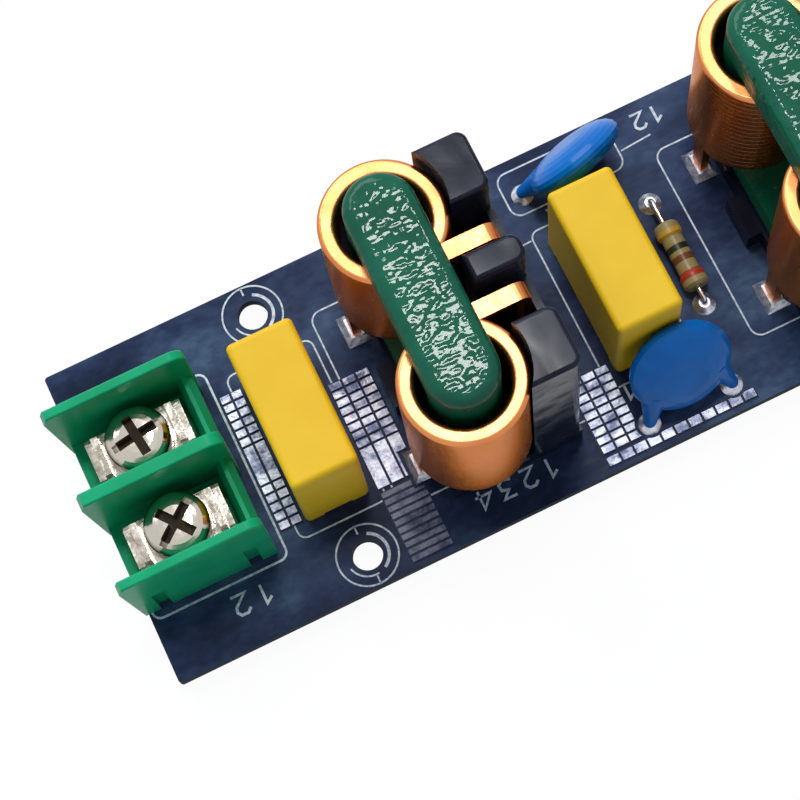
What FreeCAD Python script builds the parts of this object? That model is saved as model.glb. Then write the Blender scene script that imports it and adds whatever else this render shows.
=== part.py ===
import FreeCAD, Part
import math
import os

# Mains EMI line filter on a long printed circuit board.
# Millimetres. X runs along the board, Y across it, Z up.
# The origin lies under the middle of the board, at the height of the lead tips.
# Every component is drawn about its own middle with Z = 0 on the board's top
# face, and is then set down in its place.

# Board
board_length = 126.8
board_width = 39.1
board_thickness = 1.6
board_corner = 0.4
lead_drop = 2.2
board_top = lead_drop + board_thickness
lead_tip = -board_top
mount_inset = 0.6
mount_edge = 3.85
mount_spacing_y = board_width - 2 * mount_edge
mount_hole_radius = 1.75
lead_hole_gap = 0.2

# How far a cutting shape runs past the face that it cuts
past = 1.0

# Screw terminals, one block with two poles at each end
block_length = 16.3
block_width = 22.0
block_overhang = 0.3
block_floor = 3.0
barrier_height = 15.5
barrier_outer = 1.2
barrier_middle = 1.6
barrier_corner = 1.4
barrier_lean = 0.7
barrier_end_round = 1.8
barrier_rim = 0.25
floor_inset = 0.3
end_wall_thickness = 1.9
end_wall_height = 8.8
end_wall_crest = 0.7
end_wall_crest_width = 0.5
end_wall_shoulder = 1.6
end_wall_lean = 2.2
pole_pitch = 10.8
pole_x = 7.75
pedestal_length = 8.4
pedestal_width = 4.0
pedestal_top = 5.8
notch_length = 1.5
notch_height = 7.3
notch_depth = 0.7
notch_inset = 2.6
terminal_metal = 0.8
contact_length = 11.6
contact_width = 6.0
lip_width = 4.6
contact_lip = 1.2
contact_leg = 1.6
leg_gap = 0.1
clamp_length = 9.8
clamp_width = 5.6
clamp_lip = 1.8
washer_radius = 3.9
washer_thickness = 0.8
screw_radius = 2.0
screw_hole_gap = 0.15
screw_tip = 1.0
screw_chamfer = 0.5
screw_hole_gap_below = 0.3
screw_hole_depth = 5.2
head_radius = 3.7
head_side = 1.3
head_crown = 1.2
head_flat = 0.35
recess_width = 1.1
recess_length = 4.8
recess_depth = 1.5
slot_length = 6.0
slot_width = 0.9
slot_depth = 0.8
screw_turns = (38.0, 8.0)

# Film capacitors in boxes
film_y = -0.35
film_length = 18.0
film_width = 7.9
film_height = 16.2
film_wall = 0.8
film_edge = 0.7
film_foot = 2.2
film_relief = 0.5
film_seal = 0.9
film_lead_inset = 1.5
film_lead_pitch = film_length - 2 * film_lead_inset
film_lead_radius = 0.4
film_lead_in = 4.0

# Common mode chokes with two upright coils of flat wire
coil_spacing = 19.3
coil_outer = 7.0
coil_inner = 5.05
coil_bottom = 8.1
coil_height = 20.5
coil_turns = 18
turn_groove = 0.015
wire_round = 0.5
wire_thickness = 1.0
top_lead_reach = 10.4
lead_bend = 0.5
bottom_lead_inset = 0.3
bottom_lead_x = coil_outer - wire_thickness / 2 - bottom_lead_inset
bottom_lead_shift = 0.75
bottom_lead_y = coil_spacing / 2 - bottom_lead_shift
core_width = 8.0
core_gap = 0.2
yoke_height = 4.6
core_edge = 1.3
base_plate = coil_bottom - yoke_height
base_left = 4.4
tab_left = 6.15
tab_half_width = 2.6
wall_inner = 5.4
wall_outer = 11.6
wall_half_width = 14.25
wall_top = 31.6
wall_edge = 0.5
wall_corner = 1.2
coil_clearance = 0.3
boss_half_width = 1.6
slot_outer = 7.1
web_inner = 10.7
web_top = 24.0

# Disc capacitors, each leaning on its leads
disc_radius = 6.15
disc_thickness = 4.0
disc_rim = 4.3
disc_pitch = 10.4
disc_lead_radius = 0.33
disc_foot = 1.0
disc_foot_cut = 0.3
disc_rise = 7.2
disc_leg_top = 1.7
disc_leg_foot = 0.75
disc_leg_inset = 1.5
disc_leg_height = 4.6
upper_disc_x = 1.0
upper_disc_room = 7.75
upper_disc_y = film_y + film_length / 2 + upper_disc_room
upper_disc_lean = 24.0
upper_disc_yaw = 17.0
upper_disc_shift = 0.8
lower_disc_x = 1.9
lower_disc_room = 6.9
lower_disc_y = film_y - film_length / 2 - lower_disc_room
lower_disc_lean = -30.0
lower_disc_yaw = 0.0
lower_disc_shift = 0.0

# Discharge resistor lying along Y
resistor_y = 0.4
resistor_pitch = 13.6
resistor_shift = -0.9
resistor_length = 8.4
resistor_radius = 1.3
resistor_cap_radius = 1.55
resistor_cap_length = 1.9
resistor_soft = 0.35
resistor_lead_radius = 0.35
resistor_bend = 1.0
resistor_gap = 0.15

# Solder under and over the board
joint_foot = 0.75
joint_height = 1.3
joint_tip = 0.3
bead_foot = 1.0
bead_height = 1.0
bead_gap = 0.05

# Copper areas whose tinned lands stand a little above their mask
land_film = 0.12
land_height = 0.3
land_pitch_x = 1.75
land_pitch_y = 1.1
land_gap = 0.3
rib_height = 0.2
rib_pitch = 0.9
pad_gap = 0.4
area_gap = 0.3
side_area_inset = 0.3
block_area_gap = 1.2
choke_area_gap = 1.1
side_bar_top = 2.0
side_bar_bottom = 3.0
strip_gap = 0.8
strip_width = 5.2
strip_top = 4.5
strip_bottom = 9.3
strip_bar_top = 4.0
disc_area_column = 5.2
disc_area_right = 7.3
disc_area_top = 7.4
disc_area_bar = 1.3
board_edge_gap = 0.65

# Places along the board. The free room between the middle film capacitor and a
# terminal block is shared by three gaps, with the choke and the outer capacitor
# between them.
choke_gap_share = 0.6755
block_gap_share = 0.2567
resistor_share = 0.4236
block_end = board_length / 2 + block_overhang
block_inner = block_end - block_length
choke_length = coil_outer + wall_outer
row_room = block_inner - 1.5 * film_width - choke_length
choke_gap = choke_gap_share * row_room
choke_offset_x = film_width / 2 + choke_gap + coil_outer
film_offset_x = block_inner - block_gap_share * row_room - film_width / 2
resistor_x = film_width / 2 + resistor_share * choke_gap
mount_spacing_x = 2 * (film_offset_x - mount_inset)

os.makedirs("parts", exist_ok=True)


def save(name, shape):
    """Write one node to its own file."""
    shape.exportStep("parts/" + name + ".step")


def block(x_low, x_high, y_low, y_high, z_low, z_high):
    """A box between two corners."""
    corner = FreeCAD.Vector(x_low, y_low, z_low)
    return Part.makeBox(x_high - x_low, y_high - y_low, z_high - z_low, corner)


def rod(x, y, z_low, z_high, radius):
    """An upright cylinder."""
    return Part.makeCylinder(radius, z_high - z_low, FreeCAD.Vector(x, y, z_low))


def moved(shape, x, y, z=0.0, turn=0.0):
    """A copy turned about Z in degrees and then set at a place."""
    copy = shape.copy()
    copy.rotate(FreeCAD.Vector(0, 0, 0), FreeCAD.Vector(0, 0, 1), turn)
    copy.translate(FreeCAD.Vector(x, y, z))
    return copy


def plate_xz(points, y_low, y_high):
    """A flat outline in the XZ plane, given thickness along Y."""
    corners = [FreeCAD.Vector(x, y_low, z) for x, z in points]
    face = Part.Face(Part.makePolygon(corners + corners[:1]))
    return face.extrude(FreeCAD.Vector(0, y_high - y_low, 0))


def turned(points):
    """A solid of revolution about Z from radius and height pairs."""
    corners = [FreeCAD.Vector(r, 0, z) for r, z in points]
    face = Part.Face(Part.makePolygon(corners + corners[:1]))
    return face.revolve(FreeCAD.Vector(0, 0, 0), FreeCAD.Vector(0, 0, 1), 360)


def upright_edges(shape):
    """Straight edges that run along Z."""
    found = []
    for edge in shape.Edges:
        first = edge.Vertexes[0].Point
        last = edge.Vertexes[-1].Point
        if abs(first.x - last.x) < 1e-6 and abs(first.y - last.y) < 1e-6:
            found.append(edge)
    return found


def edges_at(shape, height):
    """Edges that lie wholly at one height."""
    found = []
    for edge in shape.Edges:
        box = edge.BoundBox
        if abs(box.ZMin - height) < 1e-4 and abs(box.ZMax - height) < 1e-4:
            found.append(edge)
    return found


# Where the leads go through the board
round_leads = []
flat_leads = []
top_beads = []

for film_x in (-film_offset_x, 0.0, film_offset_x):
    for side in (-1, 1):
        round_leads.append((film_x, film_y + side * film_lead_pitch / 2, film_lead_radius))

disc_set = (("upper", upper_disc_x, upper_disc_y, upper_disc_lean, upper_disc_yaw, upper_disc_shift),
            ("lower", lower_disc_x, lower_disc_y, lower_disc_lean, lower_disc_yaw, lower_disc_shift))
disc_lead_places = {}
for word, disc_x, disc_y, lean, yaw, shift in disc_set:
    reach_x = disc_pitch / 2 * math.cos(math.radians(yaw))
    reach_y = disc_pitch / 2 * math.sin(math.radians(yaw))
    places = [(disc_x + side * reach_x, disc_y + side * reach_y, disc_lead_radius)
              for side in (-1, 1)]
    disc_lead_places[word] = places
    round_leads.extend(places)
    top_beads.extend(places)

for side in (-1, 1):
    place = (resistor_x, resistor_y + side * resistor_pitch / 2, resistor_lead_radius)
    round_leads.append(place)
    top_beads.append(place)

lead_width = coil_outer - coil_inner
top_lead_y = coil_spacing / 2 - (coil_outer + coil_inner) / 2
top_lead_x = top_lead_reach - wire_thickness / 2
for choke_x in (-choke_offset_x, choke_offset_x):
    for side in (-1, 1):
        flat_leads.append((choke_x + top_lead_x, side * top_lead_y, wire_thickness, lead_width))
        place = (choke_x - bottom_lead_x, side * bottom_lead_y, wire_thickness, lead_width)
        flat_leads.append(place)
        top_beads.append(place)

leg_y = contact_width / 2 - terminal_metal / 2
for end in (-1, 1):
    for pole in (-1, 1):
        for side in (-1, 1):
            leg_x = end * (block_end - pole_x)
            leg_place = pole * pole_pitch / 2 + side * leg_y
            flat_leads.append((leg_x, leg_place, contact_leg, terminal_metal))


# Board with its mounting holes and a hole for every lead
def make_board():
    """The laminate, with rounded corners."""
    half_x = board_length / 2
    half_y = board_width / 2
    plate = block(-half_x, half_x, -half_y, half_y, lead_drop, board_top)
    plate = plate.makeFillet(board_corner, upright_edges(plate))
    cuts = []
    for x_side in (-1, 1):
        for y_side in (-1, 1):
            hole_x = x_side * mount_spacing_x / 2
            hole_y = y_side * mount_spacing_y / 2
            cuts.append(rod(hole_x, hole_y, 0, board_top + past, mount_hole_radius))
    for x, y, radius in round_leads:
        cuts.append(rod(x, y, 0, board_top + past, radius + lead_hole_gap))
    for x, y, size_x, size_y in flat_leads:
        reach_x = size_x / 2 + lead_hole_gap
        reach_y = size_y / 2 + lead_hole_gap
        cuts.append(block(x - reach_x, x + reach_x, y - reach_y, y + reach_y,
                          0, board_top + past))
    return plate.cut(cuts)


save("board", make_board())


# Screw terminals
def make_barrier(y_low, y_high):
    """One upright barrier: leaning outer tip, rounded inner end and softened rims."""
    profile = [(0, 0), (-barrier_lean, barrier_height - barrier_corner),
               (barrier_corner / 3 - barrier_lean, barrier_height),
               (block_length, barrier_height), (block_length, 0)]
    barrier = plate_xz(profile, y_low, y_high)
    ends = [edge for edge in edges_at(barrier, barrier_height)
            if edge.BoundBox.XMin > block_length - past]
    barrier = barrier.makeFillet(barrier_end_round, ends)
    rims = [edge for edge in edges_at(barrier, barrier_height) if edge.BoundBox.YLength < past]
    rims = [edge for edge in rims if edge.BoundBox.XLength > past]
    return barrier.makeFillet(barrier_rim, rims)


def make_housing():
    """Moulded block: floor, three barriers, a low inner end wall and two pedestals."""
    half = block_width / 2
    side = half - barrier_outer / 2
    end_x = block_length - floor_inset
    crest = end_x - end_wall_crest
    body = block(floor_inset, end_x, -side, side, 0, block_floor)
    spans = ((-half, -half + barrier_outer), (-barrier_middle / 2, barrier_middle / 2),
             (half - barrier_outer, half))
    for y_low, y_high in spans:
        body = body.fuse(make_barrier(y_low, y_high))
    inside = end_x - end_wall_thickness
    wall = [(inside, 0), (inside, end_wall_height - end_wall_lean),
            (crest - end_wall_crest_width, end_wall_height), (crest, end_wall_height),
            (end_x, end_wall_height - end_wall_shoulder), (end_x, 0)]
    body = body.fuse(plate_xz(wall, -side, side))
    for pole in (-1, 1):
        y = pole * pole_pitch / 2
        reach_x = pedestal_length / 2
        reach_y = pedestal_width / 2
        body = body.fuse(block(pole_x - reach_x, pole_x + reach_x,
                               y - reach_y, y + reach_y, 0, pedestal_top))
    cuts = []
    for pole in (-1, 1):
        y = pole * pole_pitch / 2
        hole = screw_radius + screw_hole_gap_below
        cuts.append(rod(pole_x, y, pedestal_top - screw_hole_depth, pedestal_top + past, hole))
        for side in (-1, 1):
            leg = y + side * leg_y
            reach_x = contact_leg / 2 + leg_gap
            reach_y = terminal_metal / 2 + leg_gap
            cuts.append(block(pole_x - reach_x, pole_x + reach_x,
                              leg - reach_y, leg + reach_y, -past, pedestal_top))
    for x in (notch_inset, block_length - notch_inset):
        cuts.append(block(x - notch_length / 2, x + notch_length / 2, -half - past,
                          -half + notch_depth, -past, notch_height))
    return body.cut(cuts).removeSplitter()


def make_contact():
    """Strip under the clamp, with raised ends and two legs to the board."""
    reach_x = contact_length / 2
    reach_y = contact_width / 2
    top = pedestal_top + terminal_metal
    strip = block(-reach_x, reach_x, -reach_y, reach_y, pedestal_top, top)
    for side in (-1, 1):
        low = min(side * reach_x, side * (reach_x - terminal_metal))
        strip = strip.fuse(block(low, low + terminal_metal, -lip_width / 2, lip_width / 2,
                                 pedestal_top, top + contact_lip))
        leg_low = side * leg_y - terminal_metal / 2
        strip = strip.fuse(block(-contact_leg / 2, contact_leg / 2, leg_low,
                                 leg_low + terminal_metal, lead_tip, pedestal_top))
    hole = rod(0, 0, pedestal_top - past, top + past, screw_radius + screw_hole_gap)
    return strip.cut(hole).removeSplitter()


def make_clamp():
    """Wire clamp: a plate with both ends turned up."""
    low = pedestal_top + terminal_metal
    top = low + terminal_metal
    reach_x = clamp_length / 2
    reach_y = clamp_width / 2
    plate = block(-reach_x, reach_x, -reach_y, reach_y, low, top)
    for side in (-1, 1):
        edge = min(side * reach_x, side * (reach_x - terminal_metal))
        plate = plate.fuse(block(edge, edge + terminal_metal, -lip_width / 2, lip_width / 2,
                                 low, top + clamp_lip))
    hole = rod(0, 0, low - past, top + past, screw_radius + screw_hole_gap)
    return plate.cut(hole).removeSplitter()


def make_washer():
    """Flat washer under the screw's head."""
    low = pedestal_top + 2 * terminal_metal
    top = low + washer_thickness
    ring = rod(0, 0, low, top, washer_radius)
    return ring.cut(rod(0, 0, low - past, top + past, screw_radius + screw_hole_gap))


def make_screw():
    """Pan head screw with a cross recess and a slot."""
    seat = pedestal_top + 2 * terminal_metal + washer_thickness
    side_top = seat + head_side
    top = side_top + head_crown
    points = [(0, screw_tip), (screw_radius - screw_chamfer, screw_tip),
              (screw_radius, screw_tip + screw_chamfer), (screw_radius, seat),
              (head_radius, seat), (head_radius, side_top)]
    steps = 6
    for step in range(1, steps + 1):
        angle = math.pi / 2 * step / steps
        radius = head_radius * (head_flat + (1 - head_flat) * math.cos(angle))
        points.append((radius, side_top + head_crown * math.sin(angle)))
    points.append((0, top))
    screw = turned(points)
    reach = recess_length / 2
    half = recess_width / 2
    cuts = [block(-reach, reach, -half, half, top - recess_depth, top + past),
            block(-half, half, -reach, reach, top - recess_depth, top + past),
            block(-slot_length / 2, slot_length / 2, -slot_width / 2, slot_width / 2,
                  top - slot_depth, top + past)]
    return screw.cut(cuts)


housing = make_housing()
for end, word, turn in ((-1, "output", 0.0), (1, "input", 180.0)):
    save(word + "_terminal_housing", moved(housing, end * block_end, 0, board_top, turn))
    pole_places = [(end * (block_end - pole_x), pole * pole_pitch / 2) for pole in (-1, 1)]
    for title, piece in (("terminal_contacts", make_contact()), ("wire_clamps", make_clamp()),
                         ("terminal_washers", make_washer())):
        copies = [moved(piece, x, y, board_top) for x, y in pole_places]
        save(word + "_" + title, Part.makeCompound(copies))
    screws = [moved(make_screw(), x, y, board_top, angle)
              for (x, y), angle in zip(pole_places, screw_turns)]
    save(word + "_terminal_screws", Part.makeCompound(screws))


# Film capacitors
def make_film_case():
    """Moulded box, open below, standing on a foot at each corner."""
    half_x = film_width / 2
    half_y = film_length / 2
    case = block(-half_x, half_x, -half_y, half_y, 0, film_height)
    rounded = upright_edges(case) + edges_at(case, film_height)
    case = case.makeFillet(film_edge, rounded)
    cuts = [block(-half_x + film_wall, half_x - film_wall, -half_y + film_wall,
                  half_y - film_wall, -past, film_height - film_wall),
            block(-half_x - past, half_x + past, -half_y + film_foot, half_y - film_foot,
                  -past, film_relief),
            block(-half_x + film_foot, half_x - film_foot, -half_y - past, half_y + past,
                  -past, film_relief)]
    return case.cut(cuts)


def make_film_core():
    """Wound film and its resin, filling the box."""
    half_x = film_width / 2 - film_wall
    half_y = film_length / 2 - film_wall
    core = block(-half_x, half_x, -half_y, half_y, film_seal, film_height - film_wall)
    cuts = [rod(0, side * film_lead_pitch / 2, 0, film_lead_in, film_lead_radius)
            for side in (-1, 1)]
    return core.cut(cuts)


film_words = ("output", "middle", "input")
film_places = (-film_offset_x, 0.0, film_offset_x)
for word, film_x in zip(film_words, film_places):
    save(word + "_film_capacitor_case", moved(make_film_case(), film_x, film_y, board_top))
    save(word + "_film_capacitor_core", moved(make_film_core(), film_x, film_y, board_top))
    wires = [rod(film_x, film_y + side * film_lead_pitch / 2, 0, board_top + film_lead_in,
                 film_lead_radius) for side in (-1, 1)]
    save(word + "_film_capacitor_leads", Part.makeCompound(wires))


# Chokes
coil_top = coil_bottom + coil_height
core_top = coil_top + core_gap + yoke_height


def stadium(length, width, z_low, z_high):
    """A bar with round ends, lying along Y."""
    straight = (length - width) / 2
    bar = block(-width / 2, width / 2, -straight, straight, z_low, z_high)
    for side in (-1, 1):
        bar = bar.fuse(rod(0, side * straight, z_low, z_high, width / 2))
    return bar.removeSplitter()


def make_core():
    """Closed ferrite frame: two round legs between two bars with round ends."""
    length = coil_spacing + core_width
    lower = stadium(length, core_width, base_plate, coil_bottom)
    lower = lower.makeFillet(core_edge, edges_at(lower, base_plate))
    upper = stadium(length, core_width, coil_top + core_gap, core_top)
    upper = upper.makeFillet(core_edge, edges_at(upper, core_top))
    core = lower.fuse(upper)
    for side in (-1, 1):
        leg = rod(0, side * coil_spacing / 2, coil_bottom, coil_top + core_gap, core_width / 2)
        core = core.fuse(leg)
    return core.removeSplitter()


def make_coil(side):
    """Flat wire wound on edge, with its upper and lower leads."""
    pitch = coil_height / coil_turns
    points = []
    for turn in range(coil_turns):
        low = coil_bottom + turn * pitch
        points.append((coil_outer - turn_groove, low))
        points.append((coil_outer, low + turn_groove))
        if turn < coil_turns - 1:
            points.append((coil_outer, low + pitch - turn_groove))
    points.append((coil_outer, coil_top))
    points.append((coil_inner, coil_top))
    points.append((coil_inner, coil_bottom))
    coil = turned(points)
    coil = coil.makeFillet(wire_round, [edge for edge in edges_at(coil, coil_top)
                                        if isinstance(edge.Curve, Part.Circle)])
    coil.translate(FreeCAD.Vector(0, side * coil_spacing / 2, 0))
    inner_x = top_lead_reach - wire_thickness
    low_z = coil_top - wire_thickness
    outline = [(0, coil_top)]
    bend = lead_bend + wire_thickness
    steps = 6
    for step in range(steps + 1):
        angle = math.pi / 2 * step / steps
        outline.append((top_lead_reach - bend + bend * math.sin(angle),
                        coil_top - bend + bend * math.cos(angle)))
    outline.append((top_lead_reach, lead_tip))
    outline.append((inner_x, lead_tip))
    for step in range(steps, -1, -1):
        angle = math.pi / 2 * step / steps
        outline.append((inner_x - lead_bend + lead_bend * math.sin(angle),
                        low_z - lead_bend + lead_bend * math.cos(angle)))
    outline.append((0, low_z))
    low_y = side * top_lead_y - lead_width / 2
    upper_lead = plate_xz(outline, low_y, low_y + lead_width)
    low_y = side * bottom_lead_y - lead_width / 2
    outer = -bottom_lead_x - wire_thickness / 2
    lower_lead = block(outer, outer + wire_thickness, low_y, low_y + lead_width, lead_tip,
                       coil_bottom + wire_thickness)
    return coil.fuse([upper_lead, lower_lead]).removeSplitter()


def make_choke_base():
    """Moulded foot under the core, with a comb wall that guides the upper leads."""
    base = block(-base_left, wall_outer, -wall_half_width, wall_half_width, 0, base_plate)
    base = base.fuse(block(-tab_left, 0, -tab_half_width, tab_half_width, 0, base_plate))
    spans = ((-wall_half_width, -slot_outer), (-boss_half_width, boss_half_width),
             (slot_outer, wall_half_width))
    for y_low, y_high in spans:
        post = block(wall_inner, wall_outer, y_low, y_high, 0, wall_top)
        outside = [edge for edge in upright_edges(post)
                   if abs(edge.Vertexes[0].Point.x - wall_outer) < 1e-6]
        post = post.makeFillet(wall_corner, outside)
        post = post.makeFillet(wall_edge, edges_at(post, wall_top))
        base = base.fuse(post)
    recesses = [rod(0, side * coil_spacing / 2, base_plate, wall_top + past,
                    coil_outer + coil_clearance) for side in (-1, 1)]
    base = base.cut(recesses)
    for side in (-1, 1):
        low = min(side * boss_half_width, side * slot_outer)
        high = low + slot_outer - boss_half_width
        base = base.cut(block(wall_inner - past, wall_outer + past, low, high,
                              -past, base_plate + past))
        web = block(web_inner, wall_outer, low - wall_corner, high + wall_corner, 0, web_top)
        base = base.fuse(web)
    return base.removeSplitter()


for word, choke_x in (("output", -choke_offset_x), ("input", choke_offset_x)):
    save(word + "_choke_core", moved(make_core(), choke_x, 0, board_top))
    save(word + "_choke_coil_upper", moved(make_coil(1), choke_x, 0, board_top))
    save(word + "_choke_coil_lower", moved(make_coil(-1), choke_x, 0, board_top))
    save(word + "_choke_base", moved(make_choke_base(), choke_x, 0, board_top))


# Disc capacitors
def make_disc(lean, shift):
    """Dipped disc with its coating run a little way down both leads."""
    half = disc_thickness / 2
    flat = disc_radius - disc_rim
    points = [(0, -half), (flat, -half)]
    steps = 6
    for step in range(-steps + 1, steps):
        angle = math.pi / 2 * step / steps
        points.append((flat + disc_rim * math.cos(angle), half * math.sin(angle)))
    points.append((flat, half))
    points.append((0, half))
    disc = turned(points)
    disc.rotate(FreeCAD.Vector(0, 0, 0), FreeCAD.Vector(1, 0, 0), 90)
    disc.translate(FreeCAD.Vector(shift, 0, disc_rise))
    disc.rotate(FreeCAD.Vector(0, 0, disc_foot), FreeCAD.Vector(1, 0, 0), lean)
    slope = math.tan(math.radians(lean))
    for side in (-1, 1):
        foot = FreeCAD.Vector(side * disc_pitch / 2, 0, disc_foot)
        rise = disc_leg_height - disc_foot
        head = FreeCAD.Vector(side * (disc_pitch / 2 - disc_leg_inset) + shift, -slope * rise,
                              disc_leg_height)
        along = head.sub(foot)
        leg = Part.makeCone(disc_leg_foot, disc_leg_top, along.Length, foot, along)
        ball = Part.makeSphere(disc_leg_foot, foot)
        disc = disc.fuse([leg, ball])
    under = block(-disc_pitch, disc_pitch, -disc_pitch, disc_pitch,
                  -disc_pitch, disc_foot - disc_foot_cut)
    return disc.cut(under).removeSplitter()


for word, disc_x, disc_y, lean, yaw, shift in disc_set:
    save(word + "_disc_capacitor", moved(make_disc(lean, shift), disc_x, disc_y, board_top, yaw))
    wires = [rod(x, y, 0, board_top + disc_foot - disc_foot_cut, radius)
             for x, y, radius in disc_lead_places[word]]
    save(word + "_disc_capacitor_leads", Part.makeCompound(wires))


# Discharge resistor
def make_resistor():
    """Ceramic body with a metal cap's swelling at each end, turned about Y."""
    half = resistor_length / 2
    neck = half - resistor_cap_length
    soft = resistor_soft
    outline = [(0, -half), (resistor_cap_radius - soft, -half), (resistor_cap_radius, -half + soft),
               (resistor_cap_radius, -neck - soft), (resistor_radius, -neck),
               (resistor_radius, neck), (resistor_cap_radius, neck + soft),
               (resistor_cap_radius, half - soft), (resistor_cap_radius - soft, half), (0, half)]
    body = turned(outline)
    body.rotate(FreeCAD.Vector(0, 0, 0), FreeCAD.Vector(1, 0, 0), 90)
    body.translate(FreeCAD.Vector(0, resistor_shift, resistor_cap_radius + resistor_gap))
    return body


def make_resistor_lead(side):
    """Round wire that leaves the body's end and turns down into the board."""
    height = resistor_cap_radius + resistor_gap
    start = FreeCAD.Vector(0, side * resistor_length / 2 + resistor_shift, height)
    reach = resistor_pitch / 2
    corner = FreeCAD.Vector(0, side * (reach - resistor_bend), height)
    middle = FreeCAD.Vector(0, side * (reach - resistor_bend * (1 - math.sin(math.pi / 4))),
                            height - resistor_bend * (1 - math.cos(math.pi / 4)))
    turn_end = FreeCAD.Vector(0, side * reach, height - resistor_bend)
    tip = FreeCAD.Vector(0, side * reach, lead_tip)
    path = Part.Wire([Part.makeLine(start, corner), Part.Arc(corner, middle, turn_end).toShape(),
                      Part.makeLine(turn_end, tip)])
    ring = Part.Wire([Part.makeCircle(resistor_lead_radius, start, FreeCAD.Vector(0, side, 0))])
    return path.makePipeShell([ring], True, False)


save("discharge_resistor", moved(make_resistor(), resistor_x, resistor_y, board_top))
resistor_leads = [moved(make_resistor_lead(side), resistor_x, resistor_y, board_top)
                  for side in (-1, 1)]
save("discharge_resistor_leads", Part.makeCompound(resistor_leads))


# Solder
def round_joint(x, y, radius, foot, height, base, way):
    """A cone of solder round a wire, up or down from one face of the board."""
    tall = Part.makeCone(radius + foot, radius + joint_tip, height, FreeCAD.Vector(0, 0, 0))
    tall = tall.cut(rod(0, 0, -past, height + past, radius))
    if way < 0:
        tall.rotate(FreeCAD.Vector(0, 0, 0), FreeCAD.Vector(1, 0, 0), 180)
    tall.translate(FreeCAD.Vector(x, y, base))
    return tall


def flat_joint(x, y, size_x, size_y, foot, height, base, way):
    """A hipped block of solder round a flat lead."""
    rings = []
    for level, spread in ((0, foot), (height, joint_tip)):
        reach_x = size_x / 2 + spread
        reach_y = size_y / 2 + spread
        signs = ((-1, -1), (1, -1), (1, 1), (-1, 1))
        corners = [FreeCAD.Vector(x_sign * reach_x, y_sign * reach_y, level)
                   for x_sign, y_sign in signs]
        rings.append(Part.makePolygon(corners + corners[:1]))
    tall = Part.makeLoft(rings, True, True)
    tall = tall.cut(block(-size_x / 2, size_x / 2, -size_y / 2, size_y / 2,
                          -past, height + past))
    if way < 0:
        tall.rotate(FreeCAD.Vector(0, 0, 0), FreeCAD.Vector(1, 0, 0), 180)
    tall.translate(FreeCAD.Vector(x, y, base))
    return tall


joints = []
for x, y, radius in round_leads:
    joints.append(round_joint(x, y, radius, joint_foot, joint_height, lead_drop, -1))
for x, y, size_x, size_y in flat_leads:
    joints.append(flat_joint(x, y, size_x, size_y, joint_foot, joint_height, lead_drop, -1))
save("solder_joints", Part.makeCompound(joints))

beads = []
for place in top_beads:
    if len(place) == 3:
        low_bead = min(bead_height, disc_foot - disc_foot_cut - bead_gap)
        beads.append(round_joint(*place, bead_foot, low_bead, board_top, 1))
    else:
        beads.append(flat_joint(*place, bead_foot, bead_height, board_top, 1))
save("solder_beads", Part.makeCompound(beads))


# Copper areas with tinned lands
def make_area(x_low, x_high, y_low, y_high, bar_low, bar_high):
    """Raised film with rows of short lands; between the two bar levels they are long bars."""
    area = block(x_low, x_high, y_low, y_high, board_top, board_top + land_film)
    columns = max(1, round((x_high - x_low) / land_pitch_x))
    step_x = (x_high - x_low) / columns
    bands = [(y_low, bar_low, land_pitch_y), (bar_low, bar_high, bar_high - bar_low),
             (bar_high, y_high, land_pitch_y)]
    lands = []
    for low, high, pitch in bands:
        if high - low < land_pitch_y / 2:
            continue
        rows = max(1, round((high - low) / pitch))
        step_y = (high - low) / rows
        for column in range(columns):
            for row in range(rows):
                x = x_low + column * step_x + land_gap / 2
                y = low + row * step_y + land_gap / 2
                lands.append(block(x, x + step_x - land_gap, y, y + step_y - land_gap,
                                   board_top, board_top + land_height))
    return open_round_pads(area.fuse(lands))


def make_ribs(x_low, x_high, y_low, y_high):
    """Raised film with thinly tinned ribs that run along X."""
    area = block(x_low, x_high, y_low, y_high, board_top, board_top + land_film)
    rows = max(1, round((y_high - y_low) / rib_pitch))
    step = (y_high - y_low) / rows
    ribs = []
    for row in range(rows):
        y = y_low + row * step + land_gap / 2
        ribs.append(block(x_low + land_gap / 2, x_high - land_gap / 2, y, y + step - land_gap,
                          board_top, board_top + rib_height))
    return open_round_pads(area.fuse(ribs))


def open_round_pads(area):
    """Keeps an area clear of every lead's pad."""
    ring = bead_foot + pad_gap
    holes = [rod(x, y, 0, board_top + past, radius + ring) for x, y, radius in round_leads]
    for x, y, size_x, size_y in flat_leads:
        reach_x = size_x / 2 + ring
        reach_y = size_y / 2 + ring
        holes.append(block(x - reach_x, x + reach_x, y - reach_y, y + reach_y,
                           0, board_top + past))
    return area.cut(holes).removeSplitter()


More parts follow.
